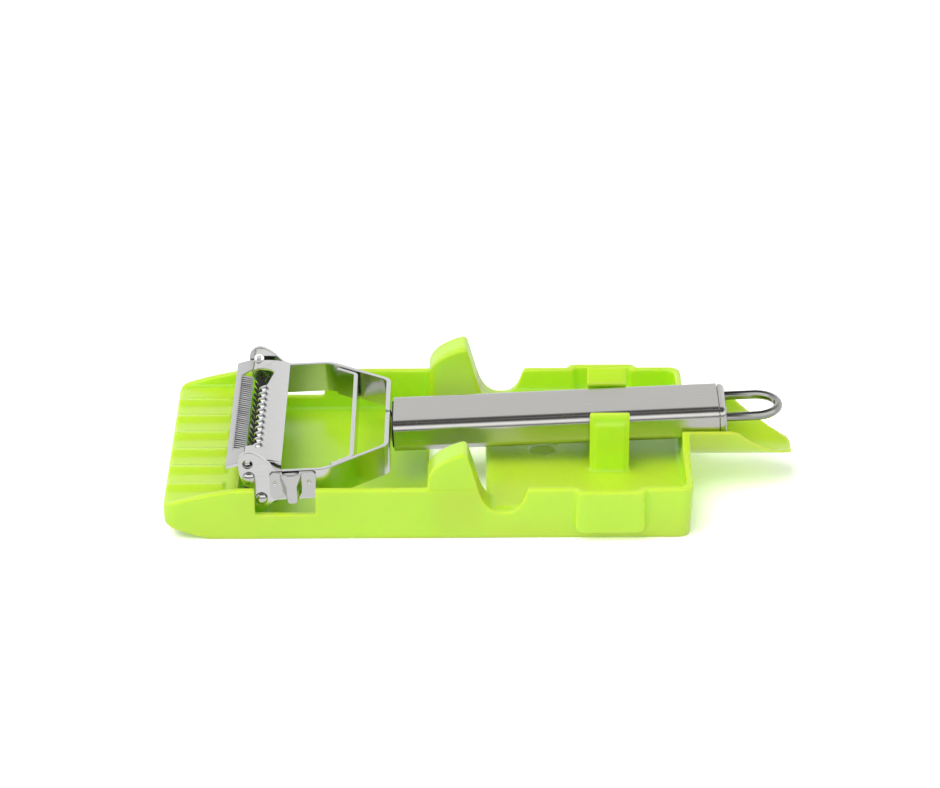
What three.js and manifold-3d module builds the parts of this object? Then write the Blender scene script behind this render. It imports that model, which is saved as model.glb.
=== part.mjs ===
// Mandoline slicer: a double-bladed yoke peeler clipped into a moulded tray.
// Millimetres. +X runs along the tool towards the hanging loop, +Y to its left, +Z up.
// The origin is in the middle of the tool's footprint, on the surface it stands on.

import * as THREE from 'three';
import { mergeVertices } from 'three/addons/utils/BufferGeometryUtils.js';
import Module from 'manifold-3d';

const wasm = await Module();
wasm.setup();

// ---------------------------------------------------------------- driving dimensions

const GAP = 0.3; // clearance between neighbouring pieces
const SLIVER = 0.005; // facets thinner than this are merged into their neighbours

// tray: one moulded piece
const tray = {
  noseX: -107.15, // left end, where the vegetable starts
  endX: 70.75, // outer face of the end wall
  tipX: 107.15, // tip of the scoop
  halfWidth: 45,
  height: 19.1,
  wall: 2.5,
  draft: 0.8, // walls are this much narrower at the bottom
  edge: 1.0, // rounding of the wall tops
  cornerRadius: 4,
};

const ramp = {
  endX: -82.7, top: 12.9, skin: 2.4, noseTop: 13.7, noseBottom: 5.45, chamferX: -89.45,
};
const rampRibs = { count: 6, pitch: 12.3, width: 8.6, height: 1.1, endX: -87.5 };
const wallSlopeX = -83.8; // walls start to slope down to the nose here
const frontFloor = { top: 3.7, endX: -18.4 };
const deck = { startX: 1.3, top: 10.9, skin: 2.4, lip: 2.2 };
const dropHole = { halfY: 33.5 }; // opening between the front floor and the deck
const drainHole = { x: 21, radius: 5.1 };
const headNotch = { x0: -76.2, x1: -55.96, nearFloor: 9.5, farFloor: 8.9 };
const bulge = { x0: 30.6, x1: 54.9, out: 2.3, bottom: 3, ramp: 2.2 };
const horn = { x0: -18.4, peakX: -5.4, shoulder: 22.6, peak: 32, innerY: 33.5, frontR: 1.8 };
const hornBack = { topX: -5.2, topZ: 33.7, kneeX: -4.5, kneeZ: 29.7, footX: -1.5, footZ: 18.9 };
const rimNotch = { floor: 10, floorX0: 6.6, floorX1: 7.8, riseX: 14.5, riseZ: 17.5, endX: 16.6 };
const clip = {
  x0: 36.6, x1: 50.1, outerY: 17.4, innerY: 14.6, hookY: 11.62,
  top: 32.95, hookTop: 29.55, hookBottom: 28.35, neck: 26.75,
};
const scoop = { centreZ: 23.5, outerR: 13.4, innerR: 12.2, rimEndX: 86.2, shoulderY: 20 };

// peeler: built level about the front end of its handle, then tipped into the tray
const peelerX = -30.2;
const peelerZ = 20.15;
const peelerPitch = THREE.MathUtils.degToRad(2.6);

const handle = { length: 111.4, halfWidth: 11.3, halfHeight: 5.75, radius: 3.3, wall: 0.9 };
const plug = { front: -0.6, back: 14, fit: 0.3 };
const cap = { proud: 2.7, depth: 9, edge: 1.5, flangeInset: 0.3 };
const loop = { wireR: 1.55, legY: 7.85, lift: 1.2, straightEnd: 124.3 };

const yoke = {
  thickness: 1.6, height: 10.9, level: -0.3,
  armY: 39, armCornerX: -22.65, crossX: -2, cornerY: 24,
  tangY: 1.15, tangEnd: 12, cornerR: 4, bendR: 0.9, armR: 8,
};
const brace = { thickness: 1.5, height: 10, crossX: -13.7, legEndX: -20.4, cornerR: 2.6 };

const upperPivot = { x: -47.9, z: 3.16 };
const lowerPivot = { x: -44.17, z: -4.82 };
const stopHole = { x: -47.96, z: 8.3, radius: 1.7 };
const rivet = {
  shankR: 1.5, headR: 2.1, headRim: 0.2, headHeight: 1.15, innerHeadR: 2.2, innerHeadHeight: 0.6,
};
const pivotHoleR = rivet.shankR + GAP;

const blade = {
  left: -7.66, width: 18.7, edgeZ: 3.5, crown: 1.45, sheet: 0.7,
  ear: 0.8, outerEarY: 36.9, innerEarY: 35.8,
  windowY: 27.5, margin: 2.1, combEnd: 6, combDrop: 0.5, seam: 5.9, windowSlant: 3,
};
const earR = 2.9; // rounding of the blades' end plates about their pivots
const serration = { count: 36, radius: 0.5, depth: 0.22 };
const teeth = {
  count: 11, pitch: 4.15, firstY: -26.2, edge: 11.4, root: 12.8, halfWidth: 1.85,
  height: 1.8, nearLength: 2.6, farLength: 4.3, droop: 1, sheet: 0.45,
};
const toothlessEnd = { y: 17.4, slantY: 27.7, slantD: 13.6, farY: 30.6 };
const stopTab = { halfWidth: 0.8, halfHeight: 0.33, lift: 0.4, reach: 0.9 };
const lowerBlade = { left: -7, width: 12.1, edgeZ: -2.2, crown: 1.2, slot0: 6, slot1: 8 };

const gouge = {
  x0: -41, x1: -25.4, z0: -4.7, z1: 5, corner: 1, sheet: 0.8, centreX: -33.6,
  topHalf: 3.4, footHalf: 3.9, waistZ: 0.7, tipZ: -5.4, tipHalf: 1.67, out: 2.5,
};
const weldMark = { leftX: -39.3, rightX: -27.7, z: 1.4, ballR: 1.1, depth: 0.3 };

// ---------------------------------------------------------------- materials

const plastic = (color) => new THREE.MeshStandardMaterial({ color, roughness: 0.38 });
const steel = (roughness) =>
  new THREE.MeshStandardMaterial({ color: 0xc4c4c4, metalness: 1, roughness });
const materials = {
  tray: plastic(0x8fd414),
  dark: plastic(0x1c1c1c),
  satin: steel(0.42),
  bright: steel(0.2),
};

// ---------------------------------------------------------------- solids

function solid(geometry) {
  geometry.deleteAttribute('normal');
  geometry.deleteAttribute('uv');
  const merged = mergeVertices(geometry, 1e-5);
  return new wasm.Manifold(new wasm.Mesh({
    numProp: 3,
    vertProperties: new Float32Array(merged.attributes.position.array),
    triVerts: new Uint32Array(merged.index.array),
  }));
}

function geometryOf(manifold) {
  const mesh = manifold.getMesh();
  const geometry = new THREE.BufferGeometry();
  geometry.setAttribute('position', new THREE.BufferAttribute(mesh.vertProperties, 3));
  geometry.setIndex(new THREE.BufferAttribute(mesh.triVerts, 1));
  geometry.computeVertexNormals();
  return geometry;
}

function union(parts) {
  return parts.reduce((sum, part) => sum.add(part));
}

// A shape drawn in plan (x, y), standing between two heights.
function standing(shape, z0, z1, curveSegments = 8) {
  const geometry = new THREE.ExtrudeGeometry(shape, {
    depth: z1 - z0, bevelEnabled: false, curveSegments,
  });
  geometry.translate(0, 0, z0);
  return solid(geometry);
}

// A shape drawn from the side (x, z), running between two values of y.
function sideways(shape, y0, y1, curveSegments = 8) {
  const geometry = new THREE.ExtrudeGeometry(shape, {
    depth: y1 - y0, bevelEnabled: false, curveSegments,
  });
  geometry.rotateX(Math.PI / 2);
  geometry.translate(0, y1, 0);
  return solid(geometry);
}

// A shape drawn from the end (y, z), running between two values of x.
function lengthways(shape, x0, x1, curveSegments = 8) {
  const geometry = new THREE.ExtrudeGeometry(shape, {
    depth: x1 - x0, bevelEnabled: false, curveSegments,
  });
  geometry.applyMatrix4(new THREE.Matrix4().makeBasis(
    new THREE.Vector3(0, 1, 0), new THREE.Vector3(0, 0, 1), new THREE.Vector3(1, 0, 0),
  ));
  geometry.translate(x0, 0, 0);
  return solid(geometry);
}

function box(x0, x1, y0, y1, z0, z1) {
  const geometry = new THREE.BoxGeometry(x1 - x0, y1 - y0, z1 - z0);
  geometry.translate((x0 + x1) / 2, (y0 + y1) / 2, (z0 + z1) / 2);
  return solid(geometry);
}

// A round bar along y.
function crossBar(x, z, radius, y0, y1, segments = 24) {
  const geometry = new THREE.CylinderGeometry(radius, radius, y1 - y0, segments);
  geometry.translate(x, (y0 + y1) / 2, z);
  return solid(geometry);
}

function mirroredY(manifold) {
  return manifold.mirror([0, 1, 0]);
}

function bothSides(manifold) {
  return manifold.add(mirroredY(manifold));
}

// A solid skinned over closed rings of points, all with the same count, lowest first.
function loft(rings) {
  const count = rings[0].length;
  const positions = rings.flat().flatMap((p) => [p.x, p.y, p.z]);
  const index = [];
  for (let level = 0; level < rings.length - 1; level += 1) {
    for (let i = 0; i < count; i += 1) {
      const j = (i + 1) % count;
      const a = level * count + i;
      const b = level * count + j;
      index.push(a, b, b + count, a, b + count, a + count);
    }
  }
  const capTriangles = (ring) => THREE.ShapeUtils.triangulateShape(ring, []);
  const top = (rings.length - 1) * count;
  for (const [a, b, c] of capTriangles(rings[0])) index.push(c, b, a);
  for (const [a, b, c] of capTriangles(rings[rings.length - 1])) {
    index.push(top + a, top + b, top + c);
  }
  const geometry = new THREE.BufferGeometry();
  geometry.setAttribute('position', new THREE.Float32BufferAttribute(positions, 3));
  geometry.setIndex(index);
  return solid(geometry);
}

// A level ring: a rectangle with rounded corners, counter-clockwise from above.
function rectangleRing(x0, x1, y0, y1, wantedRadius, z, steps = 5) {
  const ring = [];
  const radius = Math.max(wantedRadius, 0.2);
  const corners = [
    [x1 - radius, y0 + radius, -90], [x1 - radius, y1 - radius, 0],
    [x0 + radius, y1 - radius, 90], [x0 + radius, y0 + radius, 180],
  ];
  for (const [cx, cy, start] of corners) {
    for (let i = 0; i <= steps; i += 1) {
      const angle = THREE.MathUtils.degToRad(start + (90 * i) / steps);
      ring.push(new THREE.Vector3(
        cx + radius * Math.cos(angle), cy + radius * Math.sin(angle), z,
      ));
    }
  }
  return ring;
}

function roundedRectangle(halfWidth, halfHeight, radius) {
  const shape = new THREE.Shape();
  const w = halfWidth - radius;
  const h = halfHeight - radius;
  shape.absarc(w, -h, radius, -Math.PI / 2, 0);
  shape.absarc(w, h, radius, 0, Math.PI / 2);
  shape.absarc(-w, h, radius, Math.PI / 2, Math.PI);
  shape.absarc(-w, -h, radius, Math.PI, 1.5 * Math.PI);
  shape.closePath();
  return shape;
}

// A strip of even thickness along a plan path, given as corner points with bend radii.
function stripShape(corners, thickness, steps = 6) {
  const line = [corners[0].point];
  for (let i = 1; i < corners.length - 1; i += 1) {
    const { point, radius } = corners[i];
    const before = corners[i - 1].point.clone().sub(point).normalize();
    const after = corners[i + 1].point.clone().sub(point).normalize();
    const half = Math.acos(THREE.MathUtils.clamp(before.dot(after), -1, 1)) / 2;
    const reach = radius / Math.tan(half);
    const bisector = before.clone().add(after).normalize();
    const centre = point.clone().addScaledVector(bisector, radius / Math.sin(half));
    const start = point.clone().addScaledVector(before, reach).sub(centre);
    const end = point.clone().addScaledVector(after, reach).sub(centre);
    const turn = Math.atan2(start.x * end.y - start.y * end.x, start.dot(end));
    for (let k = 0; k <= steps; k += 1) {
      line.push(start.clone().rotateAround(new THREE.Vector2(), (turn * k) / steps).add(centre));
    }
  }
  line.push(corners[corners.length - 1].point);
  const left = [];
  const right = [];
  line.forEach((point, i) => {
    const into = point.clone().sub(line[Math.max(i - 1, 0)]).normalize();
    const out = line[Math.min(i + 1, line.length - 1)].clone().sub(point).normalize();
    const normal = into.add(out).normalize().rotateAround(new THREE.Vector2(), Math.PI / 2);
    left.push(point.clone().addScaledVector(normal, thickness / 2));
    right.push(point.clone().addScaledVector(normal, -thickness / 2));
  });
  return new THREE.Shape([...left, ...right.reverse()]);
}

const at = (x, y, radius = 0) => ({ point: new THREE.Vector2(x, y), radius });

// ---------------------------------------------------------------- tray

function trayBlock() {
  const { noseX, endX, halfWidth, height, draft, edge, cornerRadius } = tray;
  const level = (z, inset) => {
    const narrow = draft * (1 - z / height) + inset;
    return rectangleRing(
      noseX, endX - narrow, -halfWidth + narrow, halfWidth - narrow, cornerRadius - inset, z,
    );
  };
  const block = loft([
    level(0, 0.4), level(0.4, 0), level(height - edge, 0), level(height - edge / 2, edge * 0.13),
    level(height - edge * 0.13, edge / 2), level(height, edge),
  ]);
  const side = new THREE.Shape();
  side.moveTo(ramp.chamferX, -1);
  side.lineTo(ramp.chamferX, 0);
  side.quadraticCurveTo(noseX + 9, 1, noseX + 0.6, ramp.noseBottom);
  side.quadraticCurveTo(noseX - 0.5, ramp.noseBottom + 1, noseX, ramp.noseBottom + 2.5);
  side.lineTo(noseX, ramp.noseTop - 2);
  side.quadraticCurveTo(noseX, ramp.noseTop - 0.4, noseX + 2.5, ramp.noseTop + 0.2);
  side.quadraticCurveTo(wallSlopeX - 6, tray.height - 0.6, wallSlopeX + 4, tray.height);
  side.lineTo(wallSlopeX + 4, tray.height + 1);
  side.lineTo(endX + 1, tray.height + 1);
  side.lineTo(endX + 1, -1);
  side.closePath();
  return block.intersect(sideways(side, -60, 60));
}

// The space inside the walls above a floor, opened out at the wall tops.
function bay(x0, x1, halfY, floor, cornerRadius, floorRadius) {
  const { height, edge } = tray;
  const level = (z, grow) => rectangleRing(
    x0 - grow, x1 + grow, -halfY - grow, halfY + grow, cornerRadius + grow, z,
  );
  const lean = (z) => -0.5 * (1 - z / height);
  return loft([
    level(floor, lean(floor) - floorRadius),
    level(floor + floorRadius * 0.13, lean(floor) - floorRadius * 0.5),
    level(floor + floorRadius * 0.5, lean(floor) - floorRadius * 0.13),
    level(floor + floorRadius, lean(floor)),
    level(height - edge * 0.8, 0),
    level(height - edge * 0.25, edge * 0.2),
    level(height, edge * 0.8),
    level(height + 20, edge * 0.8),
  ]);
}

function trayBays() {
  const innerY = tray.halfWidth - tray.wall;
  const innerEndX = tray.endX - tray.wall;
  const rampBay = bay(tray.noseX - 40, ramp.endX + 3, innerY, ramp.top, 2, 1.2);
  const frontBay = bay(ramp.endX, deck.startX + 4, innerY, frontFloor.top, 1.6, 1.4);
  const rearBay = bay(deck.startX - 4, innerEndX, innerY, deck.top, 3.2, 1.6);
  const sideBay = bay(
    bulge.x0 + bulge.ramp, bulge.x1 - bulge.ramp, innerY + bulge.out, deck.top, 1.5, 1,
  );
  return union([rampBay, frontBay, rearBay, sideBay]);
}

function rampRib(y) {
  const { width, height } = rampRibs;
  const shape = new THREE.Shape();
  const base = ramp.top - 1;
  const steps = 8;
  shape.moveTo(y - width / 2, base);
  for (let i = 0; i <= steps; i += 1) {
    const t = i / steps;
    const swell = (height * (1 - Math.cos(2 * Math.PI * t))) / 2;
    shape.lineTo(y - width / 2 + width * t, ramp.top - 0.02 + swell);
  }
  shape.lineTo(y + width / 2, base);
  shape.closePath();
  return lengthways(shape, tray.noseX + 0.5, rampRibs.endX);
}

function rampPiece() {
  const ribs = [];
  for (let i = 0; i < rampRibs.count; i += 1) {
    ribs.push(rampRib((i - (rampRibs.count - 1) / 2) * rampRibs.pitch));
  }
  return union(ribs);
}

// The rear deck: raised floor with a rounded front lip turned down to the table.
function deckPiece() {
  const innerEndX = tray.endX - tray.wall;
  const { startX, top, skin, lip } = deck;
  const shape = new THREE.Shape();
  shape.moveTo(startX, 0);
  shape.lineTo(startX, top - 2);
  shape.absarc(startX + 2, top - 2, 2, Math.PI, Math.PI / 2, true);
  shape.lineTo(innerEndX + 1, top);
  shape.lineTo(innerEndX + 1, top - skin);
  shape.lineTo(startX + lip, top - skin);
  shape.lineTo(startX + lip, 0);
  shape.closePath();
  const halfY = tray.halfWidth - tray.wall + 0.5;
  return sideways(shape, -halfY, halfY);
}

function undersideHollows() {
  const halfY = tray.halfWidth - tray.wall - tray.draft;
  const innerEndX = tray.endX - tray.wall - tray.draft;
  const underDeck = box(
    deck.startX + deck.lip, innerEndX, -halfY, halfY, -1, deck.top - deck.skin,
  );
  const underRamp = box(
    tray.noseX + 2.6, ramp.endX - 2.2, -halfY, halfY, -1, ramp.top - ramp.skin,
  );
  return underDeck.add(underRamp);
}

// A block rising above the wall, with a sloped and rounded back.
function hornProfile(inset) {
  const { x0, peakX, shoulder, peak } = horn;
  const shape = new THREE.Shape();
  shape.moveTo(x0, 0);
  shape.lineTo(x0, shoulder - inset);
  shape.quadraticCurveTo(x0 + 1, peak - 3.3 - inset, peakX - 1.2, peak - inset);
  shape.quadraticCurveTo(peakX, peak + 0.3 - inset, peakX + 0.8 - inset, peak - 1.6 - inset);
  shape.lineTo(deck.startX + 3 - inset, deck.top + 1.8);
  shape.lineTo(deck.startX + 3 - inset, 0);
  shape.closePath();
  return shape;
}

// The horn from above, with its front inner corner rounded.
function hornPlan() {
  const { x0, innerY, frontR } = horn;
  const outY = tray.halfWidth + 1;
  const endX = deck.startX + 4;
  const shape = new THREE.Shape();
  shape.moveTo(x0 - 1, outY);
  shape.lineTo(x0 - 1, innerY + frontR);
  shape.lineTo(x0, innerY + frontR);
  shape.absarc(x0 + frontR, innerY + frontR, frontR, Math.PI, 1.5 * Math.PI, false);
  shape.lineTo(x0 + frontR, innerY - 1);
  shape.lineTo(endX, innerY - 1);
  shape.lineTo(endX, outY);
  shape.closePath();
  return shape;
}

function hornPiece() {
  const { innerY } = horn;
  const outer = tray.halfWidth;
  const layers = [
    [innerY, innerY + 0.35, 0.9], [innerY + 0.35, innerY + 1, 0.35],
    [innerY + 1, outer - 1.1, 0], [outer - 1.1, outer - 0.4, 0.35],
  ];
  const block = union(layers.map(([y0, y1, inset]) => (
    sideways(hornProfile(inset), y0 - (inset < 0.1 ? 0.02 : 0), y1 + 0.02, 10)
  )));
  const coreTop = tray.height - 1;
  const core = box(horn.x0 + 2.4, deck.startX - 2, innerY + 2.5, outer - tray.wall, -1, coreTop);
  const wallPart = box(horn.x0 - 1, deck.startX + 4, outer - 1.5, outer + 1, -1, tray.height - 2);
  const rounded = block.intersect(standing(hornPlan(), 0, 2 * tray.height));
  return bothSides(rounded.subtract(core).subtract(wallPart));
}

// The sloping back of the horn, shared by the two cuts that shape it.
function hornBackShape() {
  const shape = new THREE.Shape();
  shape.moveTo(hornBack.topX, hornBack.topZ);
  shape.lineTo(hornBack.kneeX, hornBack.kneeZ);
  shape.lineTo(hornBack.footX, hornBack.footZ);
  return shape;
}

// The rounded notch behind the horn that drops over the rim of a bowl.
function rimNotchCut() {
  const { floor, floorX0, floorX1, riseX, riseZ, endX } = rimNotch;
  const shape = hornBackShape();
  shape.bezierCurveTo(hornBack.footX + 1.4, floor + 3.7, floorX0 - 4.4, floor, floorX0, floor);
  shape.lineTo(floorX1, floor);
  shape.bezierCurveTo(floorX1 + 3.8, floor, riseX - 1.1, riseZ - 4, riseX, riseZ);
  shape.quadraticCurveTo(riseX + 0.4, riseZ + 1.6, endX, riseZ + 1.9);
  shape.lineTo(endX, hornBack.topZ);
  shape.closePath();
  return bothSides(sideways(shape, tray.halfWidth - tray.wall - 1, 60, 10));
}

function hornSlopeCut() {
  const { footX, topZ } = hornBack;
  const shape = hornBackShape();
  shape.quadraticCurveTo(footX + 1.2, deck.top + 2.8, footX + 4.5, deck.top);
  shape.lineTo(footX + 9.5, deck.top);
  shape.lineTo(footX + 9.5, topZ);
  shape.closePath();
  return bothSides(sideways(shape, horn.innerY - 1, tray.halfWidth - 2, 10));
}

// Outward pads at the rear of both long walls, where the walls widen round the clips.
function bulgePads() {
  const { x0, x1, out, bottom, ramp: lead } = bulge;
  const y0 = tray.halfWidth - tray.wall + 0.3;
  const y1 = tray.halfWidth + out;
  const plan = new THREE.Shape();
  plan.moveTo(x0, y0);
  plan.lineTo(x0, tray.halfWidth - 0.4);
  plan.quadraticCurveTo(x0 + 0.6, y1, x0 + lead + 0.6, y1);
  plan.lineTo(x1 - lead - 0.6, y1);
  plan.quadraticCurveTo(x1 - 0.6, y1, x1, tray.halfWidth - 0.4);
  plan.lineTo(x1, y0);
  plan.closePath();
  const side = new THREE.Shape();
  side.moveTo(x0, tray.height);
  side.lineTo(x0, bottom + 4);
  side.quadraticCurveTo(x0, bottom, x0 + 4, bottom);
  side.lineTo(x1 - 4, bottom);
  side.quadraticCurveTo(x1, bottom, x1, bottom + 4);
  side.lineTo(x1, tray.height);
  side.closePath();
  const section = new THREE.Shape();
  section.moveTo(y0, 0);
  section.lineTo(y1 - 1.6, 0);
  section.lineTo(y1 - 0.7, bottom + 0.8);
  section.lineTo(y1, tray.height - 1);
  section.quadraticCurveTo(y1, tray.height, y1 - 1, tray.height);
  section.lineTo(y0, tray.height);
  section.closePath();
  const pad = standing(plan, 0, tray.height).intersect(sideways(side, y0, y1 + 1));
  return bothSides(pad.intersect(lengthways(section, x0 - 1, x1 + 1)));
}

function endWallRise() {
  const { centreZ, outerR, shoulderY } = scoop;
  const shape = new THREE.Shape();
  shape.moveTo(-shoulderY - 4, tray.height - 3);
  shape.lineTo(-shoulderY - 1, tray.height - 0.2);
  shape.lineTo(-shoulderY + 0.6, tray.height + 0.3);
  shape.lineTo(-outerR - 0.7, centreZ - 0.2);
  shape.lineTo(-outerR, centreZ);
  shape.lineTo(outerR, centreZ);
  shape.lineTo(outerR + 0.7, centreZ - 0.2);
  shape.lineTo(shoulderY - 0.6, tray.height + 0.3);
  shape.lineTo(shoulderY + 1, tray.height - 0.2);
  shape.lineTo(shoulderY + 4, tray.height - 3);
  shape.closePath();
  return lengthways(shape, tray.endX - tray.wall, tray.endX);
}

// The open half-pipe that carries the handle's end, cut off on a slant.
function scoopPiece() {
  const { centreZ, outerR, rimEndX } = scoop;
  const start = tray.endX - tray.wall;
  const shape = new THREE.Shape();
  shape.absarc(0, centreZ, outerR, Math.PI, 2 * Math.PI, false);
  shape.closePath();
  const side = new THREE.Shape();
  const low = centreZ - outerR;
  side.moveTo(start, low - 1);
  side.lineTo(tray.tipX - 1.6, low - 1);
  side.lineTo(tray.tipX - 0.6, low + 0.1);
  side.quadraticCurveTo(tray.tipX + 0.4, low + 0.7, tray.tipX - 1.4, low + 1.6);
  side.quadraticCurveTo(rimEndX + 9, low + 5.3, rimEndX + 1.5, centreZ - 0.7);
  side.quadraticCurveTo(rimEndX, centreZ, rimEndX - 2, centreZ + 0.01);
  side.lineTo(start, centreZ + 1);
  side.closePath();
  return lengthways(shape, start, tray.tipX + 2, 24).intersect(sideways(side, -20, 20));
}

function scoopBore() {
  const { centreZ, innerR } = scoop;
  const shape = new THREE.Shape();
  shape.absarc(0, centreZ, innerR, Math.PI, 2 * Math.PI, false);
  shape.lineTo(innerR + 0.4, centreZ + 0.6);
  shape.lineTo(innerR + 0.4, centreZ + 20);
  shape.lineTo(-innerR - 0.4, centreZ + 20);
  shape.lineTo(-innerR - 0.4, centreZ + 0.6);
  shape.closePath();
  return lengthways(shape, tray.endX - tray.wall - 8, tray.tipX + 10, 24);
}

// One of the two snap clips that hold the handle.
function clipPiece() {
  const { x0, x1, outerY, innerY, hookY, top, hookTop, hookBottom, neck } = clip;
  const floor = deck.top - 0.5;
  const arm = new THREE.Shape();
  arm.moveTo(innerY - 0.8, floor);
  arm.quadraticCurveTo(innerY, floor + 0.6, innerY, floor + 3);
  arm.lineTo(innerY, neck);
  arm.lineTo(hookY, hookBottom);
  arm.lineTo(hookY, hookTop);
  arm.lineTo(outerY - 1, top);
  arm.quadraticCurveTo(outerY, top + 0.2, outerY, top - 1);
  arm.lineTo(outerY, floor + 3);
  arm.quadraticCurveTo(outerY, floor + 0.6, outerY + 0.8, floor);
  arm.closePath();
  const pad = new THREE.Shape();
  pad.moveTo(outerY - 0.5, floor);
  pad.lineTo(outerY - 0.5, top - 3.2);
  pad.lineTo(outerY, top - 3.2);
  pad.lineTo(outerY + 0.6, top - 4.4);
  pad.lineTo(outerY + 0.7, floor);
  pad.closePath();
  const padInset = 1.9;
  return lengthways(arm, x0, x1).add(lengthways(pad, x0 + padInset, x1 - padInset));
}

function baseTray() {
  const dropCut = standing(
    roundedRectangle((deck.startX - frontFloor.endX) / 2, dropHole.halfY, 2.5), -1, 12,
  ).translate([(deck.startX + frontFloor.endX) / 2, 0, 0]);
  const { x0, x1, nearFloor, farFloor } = headNotch;
  const inside = tray.halfWidth - 4;
  const nearHeadCut = box(x0, x1, -60, -inside, nearFloor, 2 * tray.height);
  const farHeadCut = box(x0, x1, inside, 60, farFloor, 2 * tray.height);
  const drain = new THREE.CylinderGeometry(drainHole.radius, drainHole.radius, 20, 32);
  drain.rotateX(Math.PI / 2);
  drain.translate(drainHole.x, 0, deck.top);
  return trayBlock()
    .add(bulgePads())
    .subtract(trayBays())
    .add(deckPiece())
    .add(rampPiece())
    .add(hornPiece())
    .add(endWallRise())
    .add(scoopPiece())
    .subtract(scoopBore())
    .subtract(undersideHollows())
    .subtract(dropCut)
    .subtract(hornSlopeCut())
    .subtract(rimNotchCut())
    .subtract(nearHeadCut)
    .subtract(farHeadCut)
    .subtract(solid(drain))
    .add(bothSides(clipPiece()));
}

// ---------------------------------------------------------------- handle

function handleTube() {
  const { length, halfWidth, halfHeight, radius, wall } = handle;
  const shape = roundedRectangle(halfWidth, halfHeight, radius);
  shape.holes.push(roundedRectangle(halfWidth - wall, halfHeight - wall, radius - wall));
  return lengthways(shape, 0, length);
}

// Plastic plug in the front of the tube, slotted for the two tangs.
function handleFrontPlug() {
  const inset = handle.wall + plug.fit;
  const shape = roundedRectangle(
    handle.halfWidth - inset, handle.halfHeight - inset, handle.radius - inset,
  );
  const body = lengthways(shape, plug.front, plug.back);
  const slotY = yoke.tangY + yoke.thickness / 2 + GAP;
  const mouthY = slotY + yoke.bendR;
  const tangHole = box(-5, yoke.tangEnd + GAP, -slotY, slotY, -4, 3.4);
  return body.subtract(tangHole).subtract(box(-5, 1.2, -mouthY, mouthY, -4, 3.4));
}

// Steel cap: a spigot inside the rear of the tube and a rounded flange that closes its end.
function handleEndCap() {
  const { halfWidth, halfHeight, radius, wall, length } = handle;
  const { edge, flangeInset } = cap;
  const spigot = wall + GAP;
  const seat = length + GAP;
  const end = length + cap.proud;
  const level = (x, inset) => rectangleRing(
    inset - halfHeight, halfHeight - inset, inset - halfWidth, halfWidth - inset,
    Math.max(radius - inset, 0.6), x,
  );
  const standingCap = loft([
    level(length - cap.depth, spigot), level(seat, spigot), level(seat, flangeInset),
    level(end - edge, flangeInset), level(end - edge / 2, flangeInset + edge * 0.13),
    level(end - edge * 0.13, flangeInset + edge / 2), level(end, flangeInset + edge),
  ]);
  const lying = standingCap.rotate([0, 90, 0]);
  const holes = [-1, 1].map((side) => {
    const hole = new THREE.CylinderGeometry(loop.wireR + GAP, loop.wireR + GAP, 40, 20);
    hole.rotateZ(Math.PI / 2);
    hole.translate(end, side * loop.legY, loop.lift);
    return solid(hole);
  });
  return lying.subtract(union(holes));
}

class LoopPath extends THREE.Curve {
  constructor(startX) {
    super();
    this.straight = loop.straightEnd - startX;
    this.startX = startX;
    this.bend = Math.PI * loop.legY;
  }

  getPoint(t) {
    const total = 2 * this.straight + this.bend;
    const run = t * total;
    if (run < this.straight) return new THREE.Vector3(this.startX + run, -loop.legY, loop.lift);
    if (run > this.straight + this.bend) {
      return new THREE.Vector3(this.startX + total - run, loop.legY, loop.lift);
    }
    const angle = (run - this.straight) / loop.legY - Math.PI / 2;
    return new THREE.Vector3(
      loop.straightEnd + loop.legY * Math.cos(angle), loop.legY * Math.sin(angle), loop.lift,
    );
  }
}

function hangingLoop() {
  const round = new THREE.Shape();
  round.absarc(0, 0, loop.wireR, 0, 2 * Math.PI);
  const geometry = new THREE.ExtrudeGeometry(round, {
    steps: 34, extrudePath: new LoopPath(handle.length - cap.depth + 1), curveSegments: 5,
  });
  return solid(geometry);
}

// ---------------------------------------------------------------- yoke

function yokePlan() {
  const { armY, armCornerX, crossX, cornerY, tangY, tangEnd } = yoke;
  const corners = [
    at(tangEnd, -tangY),
    at(crossX, -tangY, yoke.bendR),
    at(crossX, -cornerY, yoke.cornerR),
    at(armCornerX, -armY, yoke.armR),
    at(-60, -armY),
  ];
  return stripShape(corners, yoke.thickness);
}

// The yoke strip seen from the side: a plain strip that ends in the two-lobed cheek.
function yokeSide() {
  const top = yoke.level + yoke.height / 2;
  const bottom = yoke.level - yoke.height / 2;
  const shape = new THREE.Shape();
  shape.moveTo(yoke.tangEnd, -3.6);
  shape.lineTo(yoke.tangEnd, 3);
  shape.lineTo(yoke.crossX + 1.5, 3);
  shape.lineTo(yoke.crossX + 0.9, top);
  shape.lineTo(-36.8, top);
  shape.bezierCurveTo(-39.6, top + 0.2, -41.4, top + 4.9, -45, top + 6.6);
  shape.bezierCurveTo(-46.4, top + 7.5, -48.6, top + 8, -50.1, top + 6.3);
  shape.bezierCurveTo(-51.4, top + 5.1, -51.3, top + 3.7, -51.2, top + 1.9);
  shape.bezierCurveTo(-51.1, top, -51, top - 1.7, -50.4, top - 3.4);
  shape.bezierCurveTo(-50.3, top - 4.7, -49.2, top - 5.4, -47.9, top - 5.7);
  shape.quadraticCurveTo(-47.8, top - 7.2, -48.4, top - 8.4);
  shape.bezierCurveTo(-49.3, top - 11.6, -48.7, top - 16.4, -45.9, top - 16.4);
  shape.bezierCurveTo(-43.9, top - 16.4, -42.2, bottom - 0.7, -38.8, bottom);
  shape.lineTo(yoke.crossX + 0.9, bottom);
  shape.lineTo(yoke.crossX + 1.5, -3.6);
  shape.closePath();
  return shape;
}

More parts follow.
